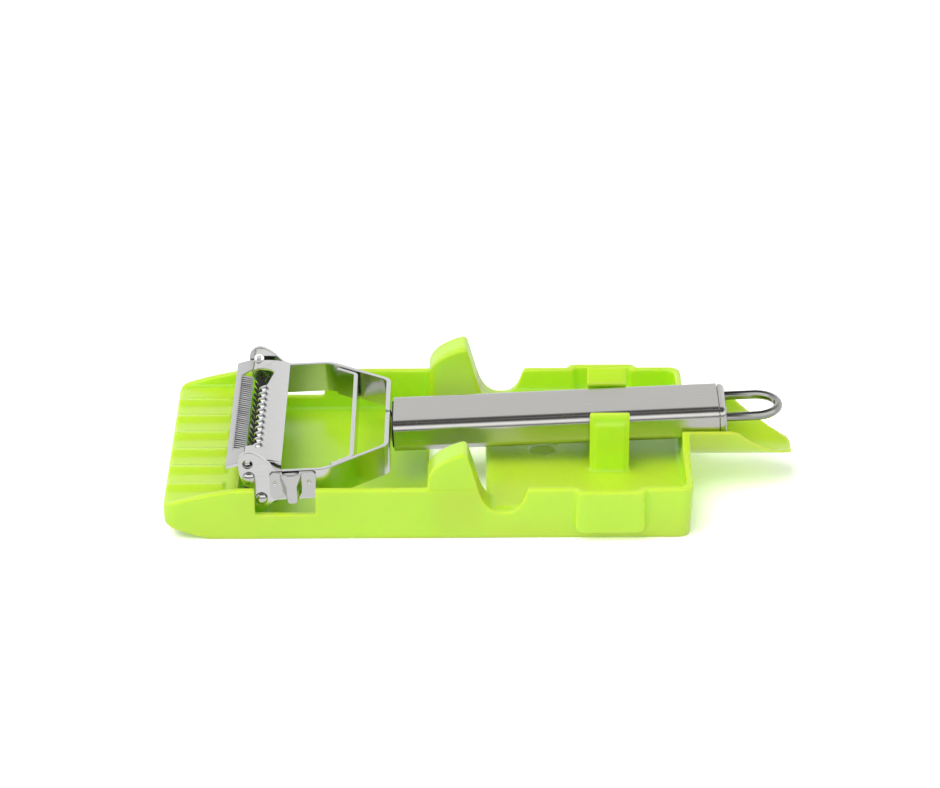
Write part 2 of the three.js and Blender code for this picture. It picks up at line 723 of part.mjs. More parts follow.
function yokeStrip(side) {
  const strip = standing(yokePlan(), -14, 14).intersect(sideways(yokeSide(), -41, 0));
  const far = -yoke.armY - 3;
  const near = -yoke.armY + 3;
  const holes = union([
    crossBar(upperPivot.x, upperPivot.z, pivotHoleR, far, near),
    crossBar(lowerPivot.x, lowerPivot.z, pivotHoleR, far, near),
    crossBar(stopHole.x, stopHole.z, stopHole.radius, far, near),
  ]);
  const piece = strip.subtract(holes);
  return side < 0 ? piece : mirroredY(piece);
}

// A flat strip bent into a shallow U and welded inside the two arms.
function yokeBrace() {
  const slope = (yoke.armY - yoke.cornerY) / (yoke.crossX - yoke.armCornerX);
  const offset = (yoke.thickness / 2 + GAP + brace.thickness / 2) * Math.hypot(1, slope);
  const innerAt = (x) => yoke.cornerY + slope * (yoke.crossX - x) - offset;
  const corners = [
    at(brace.legEndX, -innerAt(brace.legEndX)),
    at(brace.crossX, -innerAt(brace.crossX), brace.cornerR),
    at(brace.crossX, innerAt(brace.crossX), brace.cornerR),
    at(brace.legEndX, innerAt(brace.legEndX)),
  ];
  const half = brace.height / 2;
  return standing(stripShape(corners, brace.thickness), yoke.level - half, yoke.level + half);
}

// Eye gouge: a bracket on the near arm with a pressed-out ridge that ends in a tongue.
function eyeGouge() {
  const { x0, x1, z0, z1, corner, sheet, centreX, topHalf, footHalf } = gouge;
  const { waistZ, tipZ, tipHalf, out } = gouge;
  const back = -yoke.armY - yoke.thickness / 2 - GAP;
  const face = back - sheet;
  const plan = new THREE.Shape();
  plan.moveTo(x0 + corner, z0);
  plan.lineTo(x1 - corner, z0);
  plan.lineTo(x1, z0 + corner);
  plan.lineTo(x1, z1 - corner);
  plan.lineTo(x1 - corner, z1);
  plan.lineTo(x0 + corner, z1);
  plan.lineTo(x0, z1 - corner);
  plan.lineTo(x0, z0 + corner);
  plan.closePath();
  const plate = sideways(plan, face, back);
  const ring = (z, reach, foot, front, shell) => {
    const y = face - reach + shell;
    const root = back + (shell > 0 ? 1 : 0);
    return [
      new THREE.Vector3(centreX - foot + shell, root, z),
      new THREE.Vector3(centreX - front + shell * 0.6, y, z),
      new THREE.Vector3(centreX + front - shell * 0.6, y, z),
      new THREE.Vector3(centreX + foot - shell, root, z),
    ];
  };
  const ridge = (shell, below, above) => loft([
    ring(tipZ - below, out, tipHalf, tipHalf * 0.55, shell),
    ring(tipZ + 0.4, out, tipHalf * 1.2, tipHalf * 0.88, shell),
    ring(tipZ + 1, out, tipHalf * 1.5, tipHalf, shell),
    ring(waistZ - 2.6, out, footHalf * 0.94, tipHalf, shell),
    ring(waistZ, out - 0.2, footHalf, tipHalf, shell),
    ring(z1 + above, out - 0.8, footHalf, topHalf, shell),
  ]);
  const outer = ridge(0, 0, 0);
  const inner = ridge(sheet, 1, 1);
  const tongueBack = face - out + sheet + 0.4;
  const lowerTrim = new THREE.Shape();
  lowerTrim.moveTo(back + 1, tipZ - 2);
  lowerTrim.lineTo(tongueBack, tipZ - 2);
  lowerTrim.lineTo(tongueBack, z0);
  lowerTrim.lineTo(back + 1, waistZ - 1.5);
  lowerTrim.closePath();
  const shell = outer.subtract(inner).subtract(
    lengthways(lowerTrim, centreX - 10, centreX + 10),
  );
  const marks = [weldMark.leftX, weldMark.rightX].map((x) => {
    const ball = new THREE.SphereGeometry(weldMark.ballR, 10, 8);
    ball.translate(x, face - weldMark.ballR + weldMark.depth, weldMark.z);
    return solid(ball);
  });
  return plate.add(shell).subtract(inner).subtract(union(marks));
}

// Pivot rivet: domed head outside the cheek, flat head inside the blade's ear.
function pivotRivet(pivot, side) {
  const { shankR, headR, headRim, headHeight, innerHeadR, innerHeadHeight } = rivet;
  const cheekFace = yoke.armY + yoke.thickness / 2 + GAP;
  const innerFace = blade.innerEarY - GAP;
  const profile = [
    new THREE.Vector2(0, innerFace - innerHeadHeight),
    new THREE.Vector2(innerHeadR, innerFace - innerHeadHeight),
    new THREE.Vector2(innerHeadR, innerFace),
    new THREE.Vector2(shankR, innerFace),
    new THREE.Vector2(shankR, cheekFace),
    new THREE.Vector2(headR, cheekFace),
  ];
  const steps = 5;
  for (let i = 0; i < steps; i += 1) {
    const angle = (Math.PI / 2) * (i / steps);
    profile.push(new THREE.Vector2(
      headR * Math.cos(angle), cheekFace + headRim + headHeight * Math.sin(angle),
    ));
  }
  profile.push(new THREE.Vector2(0, cheekFace + headRim + headHeight));
  const geometry = new THREE.LatheGeometry(profile, 14);
  geometry.translate(pivot.x, 0, pivot.z);
  const piece = solid(geometry);
  return side > 0 ? piece : mirroredY(piece);
}

// ---------------------------------------------------------------- blades

// Height of an arched sheet's mid-surface at a distance from its left edge.
function archZ(sheet, distance) {
  const t = (2 * distance) / sheet.width - 1;
  return sheet.edgeZ + sheet.crown * (1 - t * t);
}

// A stretch of arched sheet between two distances from its left edge.
function archShape(sheet, pivot, from, to, thickness) {
  const steps = Math.max(2, Math.ceil((to - from) / 1.6));
  const upper = [];
  const lower = [];
  for (let i = 0; i <= steps; i += 1) {
    const d = from + ((to - from) * i) / steps;
    const x = pivot.x + sheet.left + d;
    const z = pivot.z + archZ(sheet, d);
    upper.push(new THREE.Vector2(x, z + thickness / 2));
    lower.push(new THREE.Vector2(x, z - thickness / 2));
  }
  return new THREE.Shape([...lower, ...upper.reverse()]);
}

// End plate that carries the pivot hole, standing under or over the sheet.
function ear(sheet, pivot, from, to, y0, sign = 1) {
  const x0 = pivot.x + sheet.left + from;
  const x1 = pivot.x + sheet.left + to;
  const shape = new THREE.Shape();
  if (sign > 0) {
    shape.moveTo(x0, pivot.z + archZ(sheet, from));
    shape.lineTo(pivot.x - earR, pivot.z);
    shape.absarc(pivot.x, pivot.z, earR, Math.PI, 2 * Math.PI, false);
    shape.lineTo(x1, pivot.z + archZ(sheet, to));
  } else {
    shape.moveTo(x1, pivot.z + archZ(sheet, to));
    shape.lineTo(pivot.x + earR, pivot.z);
    shape.absarc(pivot.x, pivot.z, earR, 0, Math.PI, false);
    shape.lineTo(x0, pivot.z + archZ(sheet, from));
  }
  shape.closePath();
  const plate = sideways(shape, y0, y0 + blade.ear);
  return plate.subtract(crossBar(pivot.x, pivot.z, pivotHoleR, y0 - 1, y0 + 2));
}

// The front sheet: its edge inside the window is bent down and cut into fine serrations.
function serratedBlade() {
  const { margin, combEnd, combDrop, seam, windowY, sheet, outerEarY } = blade;
  const halfLength = outerEarY + blade.ear;
  const full = sideways(archShape(blade, upperPivot, 0, seam, sheet), -halfLength, halfLength);
  const x0 = upperPivot.x + blade.left + margin;
  const seamX = upperPivot.x + blade.left + seam;
  const opening = new THREE.Shape();
  opening.moveTo(x0, -windowY);
  opening.lineTo(seamX + 1, -windowY);
  opening.lineTo(seamX + 1, windowY + blade.windowSlant);
  opening.lineTo(seamX, windowY + blade.windowSlant);
  opening.lineTo(x0, windowY);
  opening.closePath();
  const window = standing(opening, -20, 20);
  const z0 = upperPivot.z + archZ(blade, margin);
  const x1 = upperPivot.x + blade.left + combEnd;
  const z1 = z0 - combDrop;
  const lead = new THREE.Shape();
  lead.moveTo(x0 - 0.5, z0 - sheet / 2);
  lead.lineTo(x1, z1 - sheet / 2);
  lead.lineTo(x1 + 0.3, z1 - sheet / 2 + 0.1);
  lead.lineTo(x0, z0 + sheet / 2);
  lead.lineTo(x0 - 0.5, z0 + sheet / 2 - 0.06);
  lead.closePath();
  const comb = sideways(lead, -windowY + 0.1, windowY - 0.1);
  const flutes = [];
  const pitch = (2 * windowY - 2) / serration.count;
  const slope = Math.atan2(z1 - z0 - 0.85 * sheet, x1 - x0);
  const topZ = (z0 + z1) / 2 + 0.08 * sheet;
  for (let i = 0; i < serration.count; i += 1) {
    const y = (i - (serration.count - 1) / 2) * pitch;
    const flute = new THREE.CylinderGeometry(serration.radius, serration.radius, 5, 6);
    flute.rotateZ(Math.PI / 2);
    flute.rotateY(-slope);
    flute.translate((x0 + x1) / 2 + 0.3, y, topZ + serration.radius - serration.depth);
    flutes.push(solid(flute));
  }
  const ears = bothSides(ear(blade, upperPivot, 4.3, seam, outerEarY));
  return full.subtract(window).add(comb.subtract(union(flutes))).add(ears);
}

// A scoop-shaped tooth: a hood that rises out of the plate, then droops over the slot.
// With shell = 0 it is the hood's outer body, otherwise the space inside the hood.
function toothBody(y, shell) {
  const { root, halfWidth, height, nearLength, farLength, droop } = teeth;
  const stations = shell > 0 ? [0.18, 0.5, 1, 1.15] : [0, 0.18, 0.5, 1];
  const arcSteps = 5;
  const rings = stations.map((t) => {
    const rise = Math.sin((Math.PI / 2) * Math.min(1, t / 0.45));
    const half = halfWidth * (0.45 + 0.55 * rise) - shell;
    const base = -0.2 - droop * t * t;
    const crown = base + height * (0.2 + 0.8 * rise) - shell;
    const foot = shell > 0 ? base - 1.2 : base;
    const point = (side, z) => {
      const length = THREE.MathUtils.lerp(farLength, nearLength, (side / halfWidth + 1) / 2);
      return new THREE.Vector3(side, z, t * length);
    };
    const ring = [point(half, foot)];
    for (let i = 0; i <= arcSteps; i += 1) {
      const angle = (Math.PI * i) / arcSteps;
      ring.push(point(half * Math.cos(angle), base + (crown - base) * Math.sin(angle) + 0.01));
    }
    ring.push(point(-half, foot));
    return ring;
  });
  const rootX = upperPivot.x + blade.left + root;
  const place = new THREE.Matrix4().makeBasis(
    new THREE.Vector3(0, -1, 0), new THREE.Vector3(0, 0, 1), new THREE.Vector3(-1, 0, 0),
  ).setPosition(rootX, y, upperPivot.z + archZ(blade, root));
  return loft(rings).transform(place.elements);
}

// The window in the guide plate, seen from above: it widens where the row of teeth stops.
function plateWindow() {
  const { count, pitch, firstY, edge } = teeth;
  const { y, slantY, slantD, farY } = toothlessEnd;
  const start = blade.seam - 1;
  const nearY = firstY - pitch / 2 + 0.1;
  const left = upperPivot.x + blade.left;
  const lastY = Math.max(y, firstY + (count - 0.5) * pitch);
  const shape = new THREE.Shape();
  shape.moveTo(left + start, 1 - blade.windowY);
  shape.lineTo(left + blade.seam + 1, 1 - blade.windowY);
  shape.lineTo(left + edge - 1.7, nearY + 2);
  shape.lineTo(left + edge - 1.7, nearY);
  shape.lineTo(left + edge, nearY);
  shape.lineTo(left + edge, lastY);
  shape.lineTo(left + slantD, slantY);
  shape.lineTo(left + slantD - 1.4, slantY + 1.6);
  shape.lineTo(left + blade.seam + 2.2, farY);
  shape.lineTo(left + start, farY - 1.6);
  shape.closePath();
  return standing(shape, -20, 20);
}

// The rear sheet: the guide plate with its row of julienne teeth.
function juliennePlate() {
  const { seam, sheet, innerEarY, width } = blade;
  const halfLength = innerEarY + blade.ear;
  const full = sideways(
    archShape(blade, upperPivot, seam + GAP, width, sheet), -halfLength, halfLength,
  );
  const outers = [];
  const hollows = [];
  for (let i = 0; i < teeth.count; i += 1) {
    const y = teeth.firstY + i * teeth.pitch;
    outers.push(toothBody(y, 0));
    hollows.push(toothBody(y, teeth.sheet));
  }
  const ears = bothSides(ear(blade, upperPivot, 7.2, 13.5, innerEarY));
  const tabZ = upperPivot.z + archZ(blade, stopHole.x - upperPivot.x - blade.left) + stopTab.lift;
  const tab = box(
    stopHole.x - stopTab.halfWidth, stopHole.x + stopTab.halfWidth,
    halfLength - 2, yoke.armY + stopTab.reach,
    tabZ - stopTab.halfHeight, tabZ + stopTab.halfHeight,
  );
  return full
    .subtract(plateWindow())
    .add(union(outers))
    .subtract(union(hollows))
    .add(ears)
    .add(bothSides(tab));
}

// The plain swivel blade underneath: an arched sheet with a slot for the peel.
function peelingBlade() {
  const { windowY, sheet, outerEarY } = blade;
  const halfLength = outerEarY + blade.ear;
  const arch = { ...lowerBlade, crown: -lowerBlade.crown };
  const full = sideways(archShape(arch, lowerPivot, 0, arch.width, sheet), -halfLength, halfLength);
  const left = lowerPivot.x + arch.left;
  const slot = box(left + arch.slot0, left + arch.slot1, -windowY, windowY, -20, 20);
  const ears = bothSides(ear(arch, lowerPivot, 3.2, 11.7, outerEarY, -1));
  return full.subtract(slot).add(ears);
}

// ---------------------------------------------------------------- assembly

function mesh(name, manifold, material) {
  const piece = new THREE.Mesh(geometryOf(manifold.simplify(SLIVER)), material);
  piece.name = name;
  return piece;
}

const slicer = new THREE.Group();
slicer.add(mesh('base_tray', baseTray(), materials.tray));

const peeler = new THREE.Group();
peeler.position.set(peelerX, 0, peelerZ);
peeler.rotation.y = -peelerPitch;
peeler.add(mesh('handle_tube', handleTube(), materials.satin));
peeler.add(mesh('handle_front_plug', handleFrontPlug(), materials.dark));
peeler.add(mesh('handle_end_cap', handleEndCap(), materials.satin));
peeler.add(mesh('hanging_loop', hangingLoop(), materials.bright));
peeler.add(mesh('yoke_near', yokeStrip(-1), materials.satin));
peeler.add(mesh('yoke_far', yokeStrip(1), materials.satin));
peeler.add(mesh('yoke_brace', yokeBrace(), materials.satin));
peeler.add(mesh('eye_gouge', eyeGouge(), materials.bright));
peeler.add(mesh('upper_rivet_near', pivotRivet(upperPivot, -1), materials.bright));
peeler.add(mesh('upper_rivet_far', pivotRivet(upperPivot, 1), materials.bright));
peeler.add(mesh('lower_rivet_near', pivotRivet(lowerPivot, -1), materials.bright));
peeler.add(mesh('lower_rivet_far', pivotRivet(lowerPivot, 1), materials.bright));
peeler.add(mesh('serrated_blade', serratedBlade(), materials.satin));
peeler.add(mesh('julienne_plate', juliennePlate(), materials.satin));
peeler.add(mesh('peeling_blade', peelingBlade(), materials.satin));
slicer.add(peeler);

export default slicer;
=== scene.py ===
"""Looks of the mandoline slicer: a steel double-bladed peeler clipped into a lime green tray."""

import math

import bmesh
import bpy
from mathutils import Matrix, Vector


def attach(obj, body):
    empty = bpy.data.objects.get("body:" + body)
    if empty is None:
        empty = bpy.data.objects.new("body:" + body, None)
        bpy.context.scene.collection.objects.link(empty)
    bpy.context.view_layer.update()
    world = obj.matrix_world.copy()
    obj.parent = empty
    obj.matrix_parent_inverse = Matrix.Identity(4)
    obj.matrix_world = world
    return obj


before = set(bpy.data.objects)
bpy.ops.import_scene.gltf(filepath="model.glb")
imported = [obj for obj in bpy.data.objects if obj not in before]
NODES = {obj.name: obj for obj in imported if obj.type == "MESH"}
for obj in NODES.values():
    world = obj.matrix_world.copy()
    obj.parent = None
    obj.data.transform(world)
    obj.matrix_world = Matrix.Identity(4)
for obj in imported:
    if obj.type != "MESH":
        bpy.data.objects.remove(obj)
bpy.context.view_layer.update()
MM = 0.001
TRAY_PLACE = Matrix.Scale(MM, 4)  # the tray stands square in the object's own frame

# ---------------------------------------------------------------- camera

CAMERA_AIM = Vector((-0.00405, 0.0, 0.0317))
CAMERA_DISTANCE = 1.2265
CAMERA_ELEVATION = math.radians(27.57)
CAMERA_LENS = 136.9
CAMERA_ROLL = math.radians(-0.25)


def make_camera():
    """The photograph's long lens, in front of the tray and a little above it."""
    data = bpy.data.cameras.new("camera")
    data.lens = CAMERA_LENS
    data.clip_start, data.clip_end = 0.05, 20.0
    camera = bpy.data.objects.new("camera", data)
    back = Vector((0.0, -math.cos(CAMERA_ELEVATION), math.sin(CAMERA_ELEVATION)))
    camera.location = CAMERA_AIM + back * CAMERA_DISTANCE
    tilt = Matrix.Rotation(math.pi / 2 - CAMERA_ELEVATION, 3, "X")
    camera.rotation_euler = (tilt @ Matrix.Rotation(CAMERA_ROLL, 3, "Z")).to_euler()
    bpy.context.scene.collection.objects.link(camera)
    bpy.context.scene.camera = camera


# ---------------------------------------------------------------- node helpers


class Material:
    """A node material with short calls for adding and joining nodes."""

    def __init__(self, name):
        self.material = bpy.data.materials.new(name)
        self.material.use_nodes = True
        self.tree = self.material.node_tree
        self.tree.nodes.clear()
        self.output = self.add("ShaderNodeOutputMaterial")
        self.shader = self.add("ShaderNodeBsdfPrincipled")
        self.join(self.shader.outputs["BSDF"], self.output.inputs["Surface"])

    def add(self, kind, **settings):
        node = self.tree.nodes.new(kind)
        for key, value in settings.items():
            setattr(node, key, value)
        return node

    def join(self, output, socket):
        self.tree.links.new(output, socket)

    def set(self, **values):
        """Sets number inputs of the main shader, with _ for each space in a name."""
        for key, value in values.items():
            self.shader.inputs[key.replace("_", " ")].default_value = value

    def coordinates(self, scale=(1, 1, 1)):
        place = self.add("ShaderNodeTexCoord")
        mapping = self.add("ShaderNodeMapping")
        mapping.inputs["Scale"].default_value = scale
        self.join(place.outputs["Object"], mapping.inputs["Vector"])
        return mapping.outputs["Vector"]

    def noise(self, vector, scale, detail=3.0, roughness=0.5):
        node = self.add("ShaderNodeTexNoise")
        node.inputs["Scale"].default_value = scale
        node.inputs["Detail"].default_value = detail
        node.inputs["Roughness"].default_value = roughness
        self.join(vector, node.inputs["Vector"])
        return node.outputs["Fac"]

    def ramp(self, value, low, high, start=0.3, end=0.7):
        """A colour that runs from low to high as a value runs from start to end."""
        node = self.add("ShaderNodeValToRGB")
        node.color_ramp.elements[0].position = start
        node.color_ramp.elements[1].position = end
        node.color_ramp.elements[0].color = (*low, 1)
        node.color_ramp.elements[1].color = (*high, 1)
        self.join(value, node.inputs["Fac"])
        return node.outputs["Color"]

    def bump(self, value, strength, distance):
        node = self.add("ShaderNodeBump")
        node.inputs["Strength"].default_value = strength
        node.inputs["Distance"].default_value = distance
        self.join(value, node.inputs["Height"])
        self.join(node.outputs["Normal"], self.shader.inputs["Normal"])


def grey(value):
    return (value, value, value)


# ---------------------------------------------------------------- materials

LIME_LOW = (0.58, 0.88, 0.032)
LIME_HIGH = (0.62, 0.92, 0.042)
LIME_SCATTER = (0.7, 1.0, 0.05)  # how far red, green and blue light travel inside, as shares
PLASTIC_IOR = 1.49
STEEL_BUMP = 0.00005


def green_plastic():
    """Glossy lime plastic that light enters, with the faint ripple of a mould."""
    m = Material("green_plastic")
    place = m.coordinates()
    cloud = m.noise(place, 22.0)
    m.join(m.ramp(cloud, LIME_LOW, LIME_HIGH), m.shader.inputs["Base Color"])
    ripple = m.noise(place, 60.0, detail=1.0)
    m.join(m.ramp(ripple, grey(0.27), grey(0.33), 0.0, 1.0), m.shader.inputs["Roughness"])
    m.set(IOR=PLASTIC_IOR, Specular_IOR_Level=1.0)
    m.set(Subsurface_Weight=1.0, Subsurface_Scale=0.004)
    m.shader.inputs["Subsurface Radius"].default_value = LIME_SCATTER
    m.bump(ripple, 0.02, 0.0002)
    return m.material


def brushed_steel(name, colour, rough, stretch):
    """Steel with fine brush lines that run along the axis where stretch is smallest."""
    m = Material(name)
    place = m.coordinates(scale=stretch)
    lines = m.noise(place, 60.0, detail=4.0, roughness=0.6)
    low = tuple(c * 0.93 for c in colour)
    m.join(m.ramp(lines, low, colour), m.shader.inputs["Base Color"])
    m.join(m.ramp(lines, grey(rough * 0.85), grey(rough * 1.15)), m.shader.inputs["Roughness"])
    m.set(Metallic=1.0)
    m.bump(lines, 0.03, STEEL_BUMP)
    return m.material


def polished_steel(name, colour, rough):
    """Bright steel with a faint cloud of handling marks."""
    m = Material(name)
    place = m.coordinates()
    cloud = m.noise(place, 180.0, detail=2.0)
    m.join(m.ramp(cloud, tuple(c * 0.96 for c in colour), colour), m.shader.inputs["Base Color"])
    m.join(m.ramp(cloud, grey(rough * 0.8), grey(rough * 1.2)), m.shader.inputs["Roughness"])
    m.set(Metallic=1.0)
    return m.material


def black_plastic():
    """Dull black plastic with a fine grain."""
    m = Material("black_plastic")
    place = m.coordinates()
    grain = m.noise(place, 1500.0, detail=2.0)
    m.join(m.ramp(grain, grey(0.012), grey(0.02)), m.shader.inputs["Base Color"])
    m.set(Roughness=0.5)
    m.bump(grain, 0.1, 0.0001)
    return m.material


# ---------------------------------------------------------------- finish of the CAD nodes

WELD_DISTANCE = 2e-6
FLAT_ANGLE = math.radians(0.3)  # faces closer to one plane than this are one face
SMOOTH_ANGLE = math.radians(34)  # edges sharper than this stay sharp in the shading
BEVEL_ANGLE = math.radians(38)  # edges sharper than this are rounded


def smooth_group():
    """Geometry nodes that smooth the shading up to a set angle."""
    group = bpy.data.node_groups.new("smooth_by_angle", "GeometryNodeTree")
    group.interface.new_socket("Geometry", in_out="INPUT", socket_type="NodeSocketGeometry")
    group.interface.new_socket("Angle", in_out="INPUT", socket_type="NodeSocketFloat")
    group.interface.new_socket("Geometry", in_out="OUTPUT", socket_type="NodeSocketGeometry")
    nodes, links = group.nodes, group.links
    start = nodes.new("NodeGroupInput")
    end = nodes.new("NodeGroupOutput")
    angle = nodes.new("GeometryNodeInputMeshEdgeAngle")
    small = nodes.new("FunctionNodeCompare")
    small.operation = "LESS_THAN"
    faces = nodes.new("GeometryNodeSetShadeSmooth")
    faces.domain = "FACE"
    edges = nodes.new("GeometryNodeSetShadeSmooth")
    edges.domain = "EDGE"
    links.new(start.outputs["Geometry"], faces.inputs["Geometry"])
    links.new(faces.outputs["Geometry"], edges.inputs["Geometry"])
    links.new(angle.outputs["Unsigned Angle"], small.inputs[0])
    links.new(start.outputs["Angle"], small.inputs[1])
    links.new(small.outputs["Result"], edges.inputs["Shade Smooth"])
    links.new(edges.outputs["Geometry"], end.inputs["Geometry"])
    return group


def add_modifier(node, kind, **settings):
    """Adds a modifier to a piece and sets it up."""
    modifier = node.modifiers.new(kind.lower(), kind)
    for key, value in settings.items():
        setattr(modifier, key, value)
    return modifier


def smooth_shading(node, group, angle):
    """Smooth shading over the edges that are blunter than an angle."""
    modifier = add_modifier(node, "NODES", node_group=group)
    modifier["Socket_1"] = angle  # the group's Angle input


def moulded(node, group, voxel, passes, keep):
    """One soft skin over the whole solid, as a mould leaves it, with small fillets on every edge."""
    add_modifier(node, "WELD", merge_threshold=WELD_DISTANCE)
    add_modifier(node, "REMESH", mode="VOXEL", voxel_size=voxel)
    add_modifier(node, "SMOOTH", factor=0.5, iterations=passes)
    add_modifier(node, "DECIMATE", ratio=keep)
    smooth_shading(node, group, math.pi)


def tumbled(node, group, width):
    """Flat faces kept flat, with the small rounded edges of blanked and tumbled steel."""
    add_modifier(node, "WELD", merge_threshold=WELD_DISTANCE)
    add_modifier(node, "DECIMATE", decimate_type="DISSOLVE", angle_limit=FLAT_ANGLE)
    add_modifier(node, "BEVEL", width=width, segments=2, limit_method="ANGLE",
                 angle_limit=BEVEL_ANGLE, use_clamp_overlap=False)
    smooth_shading(node, group, SMOOTH_ANGLE)
    add_modifier(node, "WEIGHTED_NORMAL", keep_sharp=True)


def dress(name, material):
    """Gives a CAD node its material and hands the node back."""
    node = NODES[name]
    node.data.materials.clear()
    node.data.materials.append(material)
    return node


# ---------------------------------------------------------------- details that the CAD lacks

# Millimetres. The peeler is level in its own frame, and leans up towards the loop in the tray.
PEELER_ORIGIN = Vector((-30.2, 0.0, 20.15))
PEELER_PITCH = math.radians(2.6)

# The upper blades: two sheets under one arch, the comb on the left and the plate on the right.
BLADE_LEFT = -55.56
BLADE_WIDTH = 18.7
BLADE_EDGE_TOP = 6.66
BLADE_CROWN = 1.45
COMB_WIDTH = 5.8
COMB_END = 37.7
COMB_LIP_DROP = 0.95
PLATE_START = 12.0
PLATE_END = 36.6
PLATE_LIP_DROP = 3.4

LIP_RADIUS = 0.5
LIP_SHEET = 0.35
LIP_INSET = 0.1  # how far a lip stops short of the blade's long edge
LIP_PROUD = 0.08  # how far it stands over the blade
LIP_OUT = 0.12  # how far it stands out past the blade's end
LIP_REACH = (0.25, 0.1)  # how far it reaches back into the blade, past the bend and down
LIP_CORNER = (0.6, 0.3)  # its inside corner, back from the face and down from the bend
LIP_STEPS = 24
BEND_STEPS = 6

BEAK_COUNT = 13  # the dark row runs two steps further than the row of bright teeth
BEAK_PITCH = 4.15
FIRST_BEAK_Y = -26.2
BEAK_TOP = 6.9
BEAK_SHEET = 0.3
BEAK_SLOPE = 0.5  # all points lie on one tilt, so that they mirror the dark part of the room
# for each section: distance from the blade's left edge, shift along Y, drop and half breadth
BEAK_STATIONS = (
    (11.0, 1.5, 0.0, 0.6), (9.9, 0.3, 0.05, 1.1), (8.8, -1.0, 0.1, 1.2),
    (7.9, 0.2, 0.2, 1.1), (6.9, 1.7, 0.3, 0.4),
)

# The crown of the eye gouge: one outline about the ridge, repeated at a height and a scale.
GOUGE_X, GOUGE_Y = -33.6, -40.85
CROWN_OUTLINE = (
    (-2.7, 0.0), (-1.55, -1.9), (-0.8, -2.0), (0.8, -2.0), (1.55, -1.9), (2.7, 0.0),
)
CROWN_LAYERS = ((2.2, 1.0), (4.2, 1.0), (4.7, 0.97), (4.9, 0.85), (4.95, 0.6))

# The slope behind a horn, seen from the side: a curve from its foot that bends towards its end.
SLOPE_FOOT = Vector((-1.5, 18.9))
SLOPE_BEND = Vector((-0.3, 13.7))
SLOPE_END = Vector((3.0, 10.9))
SLOPE_PROUD = Vector((0.05, 0.01))  # how far the skin stands out of the slope
SLOPE_SHARE = 0.4  # how much of the curve it covers
SLOPE_STEPS = 5
HORN_SKIN = 1.6  # its thickness at the lower end
HORN_SKIN_Y = (35.5, 42.8)
HORN_SKIN_BACK = ((-2.4, 16.0), (-2.4, 18.8))


def blade_top(x):
    """Height of the arched upper blade at a place across its width."""
    t = 2 * (x - BLADE_LEFT) / BLADE_WIDTH - 1
    return BLADE_EDGE_TOP + BLADE_CROWN * (1 - t * t)


def peeler_place():
    """From the peeler's own frame to the world."""
    lean = Matrix.Rotation(-PEELER_PITCH, 4, "Y")
    return Matrix.Translation(PEELER_ORIGIN * MM) @ lean @ Matrix.Scale(MM, 4)


def add_body(work, rings, place):
    """One closed body through rings of points, with its two ends filled."""
    rows = [[work.verts.new(place @ Vector(point)) for point in ring] for ring in rings]
    count = len(rows[0])
    for near, far in zip(rows, rows[1:]):
        for i in range(count):
            j = (i + 1) % count
            work.faces.new((near[i], near[j], far[j], far[i]))
    work.faces.new(rows[0])
    work.faces.new(rows[-1])


def skin(name, bodies, material, place):
    """A piece made of closed bodies, each given as rings of points."""
    work = bmesh.new()
    for rings in bodies:
        add_body(work, rings, place)
    bmesh.ops.recalc_face_normals(work, faces=work.faces)
    data = bpy.data.meshes.new(name)
    work.to_mesh(data)
    work.free()
    data.materials.append(material)
    piece = bpy.data.objects.new(name, data)
    bpy.context.scene.collection.objects.link(piece)
    return piece


def lip_section(x, face, drop):
    """The lip cut across: round the bend, down the flange, and back up behind it."""
    top = blade_top(x) + LIP_PROUD
    section = [(x, face + LIP_RADIUS + LIP_REACH[0], top - LIP_REACH[1])]
    for k in range(BEND_STEPS + 1):
        angle = math.pi / 2 * k / BEND_STEPS
        y = face + LIP_RADIUS * (1 - math.sin(angle))
        section.append((x, y, top - LIP_RADIUS * (1 - math.cos(angle))))
    section.append((x, face, top - drop))
    section.append((x, face + LIP_SHEET, top - drop))
    section.append((x, face + LIP_CORNER[0], top - LIP_RADIUS - LIP_CORNER[1]))
    return section


def bent_lip(name, start, width, end, drop, material):
    """The turned-down end of an arched blade: a small bend and a short flange under it."""
    rings = []
    for i in range(LIP_STEPS + 1):
        x = BLADE_LEFT + start + width * i / LIP_STEPS
        rings.append(lip_section(x, -end - LIP_OUT, drop))
    return skin(name, [rings], material, peeler_place())


def tooth_beaks(material):
    """The folded points that run out of the julienne teeth, towards the comb."""
    bodies = []
    for i in range(BEAK_COUNT):
        y = FIRST_BEAK_Y + i * BEAK_PITCH
        rings = []
        for distance, shift, drop, half in BEAK_STATIONS:
            x = BLADE_LEFT + distance
            far, near = shift + half, shift - half
            z_far = BEAK_TOP - drop + BEAK_SLOPE * far
            z_near = BEAK_TOP - drop + BEAK_SLOPE * near
            rings.append([
                (x, y + far, z_far), (x, y + near, z_near),
                (x, y + near, z_near - BEAK_SHEET), (x, y + far, z_far - BEAK_SHEET),
            ])
        bodies.append(rings)
    return skin("tooth_beaks", bodies, material, peeler_place())


def gouge_crown(material):
    """Closes the top of the eye gouge's ridge with a rounded crown."""
    rings = []
    for z, grow in CROWN_LAYERS:
        rings.append([(GOUGE_X + x * grow, GOUGE_Y + y * grow, z) for x, y in CROWN_OUTLINE])
    return skin("gouge_crown", [rings], material, peeler_place())


